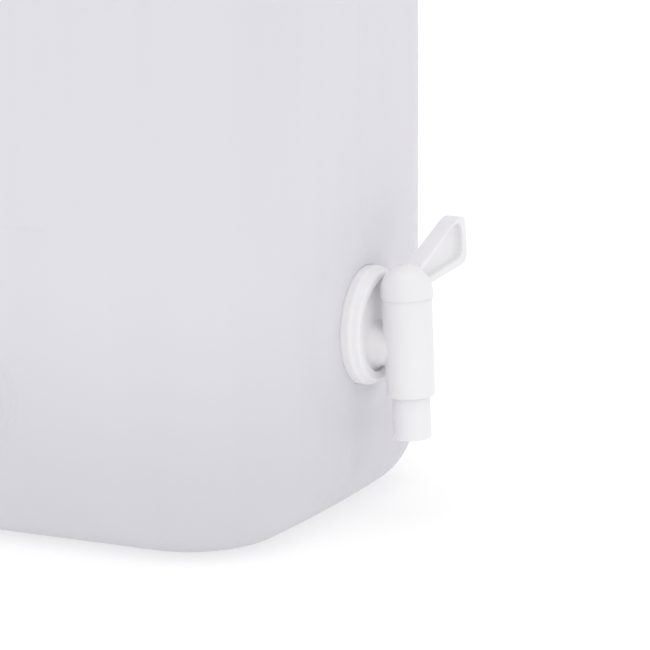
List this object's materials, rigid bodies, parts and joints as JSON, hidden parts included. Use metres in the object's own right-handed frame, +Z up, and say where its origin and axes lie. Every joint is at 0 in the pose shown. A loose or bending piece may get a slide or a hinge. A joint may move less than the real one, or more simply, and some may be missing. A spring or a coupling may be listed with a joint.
{
  "type": "detergent dispenser bottle",
  "caption": "Square-sided blow-moulded liquid detergent bottle with a carrying handle, screw-capped filler and vent, and a quarter-turn dispensing tap low on one end.",
  "frame": {"origin": "under the middle of the whole object's bounding box, on the surface it stands on", "axes": "+Z up; +X along the bottle's length, towards the end that carries the tap; the mould seam lies in the plane Y = 0"},
  "size_m": [0.3168, 0.2208, 0.3987],
  "materials": {
    "bottle_plastic": "natural translucent white blow-moulded polyethylene, satin",
    "cap_plastic": "white moulded plastic, satin",
    "tap_plastic": "white moulded plastic, soft gloss",
    "liner_foam": "pressed foam liner",
    "seal_rubber": "moulded seal rubber"
  },
  "bodies": {
    "bottle": {"bottle_body": "bottle_plastic", "tamper_ring": "cap_plastic", "tap_body": "tap_plastic", "tap_ring_nut": "tap_plastic", "tap_flange_gasket": "seal_rubber"},
    "filler_cap_carrier": {"filler_cap_liner": "liner_foam"},
    "filler_cap": {"filler_cap": "cap_plastic"},
    "vent_cap_carrier": {"vent_cap_gasket": "seal_rubber"},
    "vent_cap": {"vent_cap": "cap_plastic"},
    "valve": {"tap_plug": "tap_plastic", "lever_handle": "tap_plastic", "plug_upper_o_ring": "seal_rubber", "plug_lower_o_ring": "seal_rubber", "plug_clip": "tap_plastic"}
  },
  "joints": [
    {"name": "lever_turn", "type": "hinge", "parent": "bottle", "child": "valve", "pos_m": [0.14435, 0, 0.082], "axis": [-0.0454, 0, 0.999], "range_deg": [-72, 18]},
    {"name": "filler_cap_lift", "type": "slide", "parent": "bottle", "child": "filler_cap_carrier", "axis": [0, 0, 1], "range_m": [0, 0.0075]},
    {"name": "filler_cap_turn", "type": "hinge", "parent": "filler_cap_carrier", "child": "filler_cap", "pos_m": [0.0556, 0, 0.38], "axis": [0, 0, 1], "range_deg": [0, 541]},
    {"name": "vent_cap_lift", "type": "slide", "parent": "bottle", "child": "vent_cap_carrier", "axis": [0, 0, 1], "range_m": [0, 0.00375]},
    {"name": "vent_cap_turn", "type": "hinge", "parent": "vent_cap_carrier", "child": "vent_cap", "pos_m": [-0.1184, 0, 0.365], "axis": [0, 0, 1], "range_deg": [0, 451]}
  ],
  "couplings": [
    {"joint": "filler_cap_turn", "follows": "filler_cap_lift", "rad_per_m": 1256.6},
    {"joint": "vent_cap_turn", "follows": "vent_cap_lift", "rad_per_m": 2094.4}
  ]
}
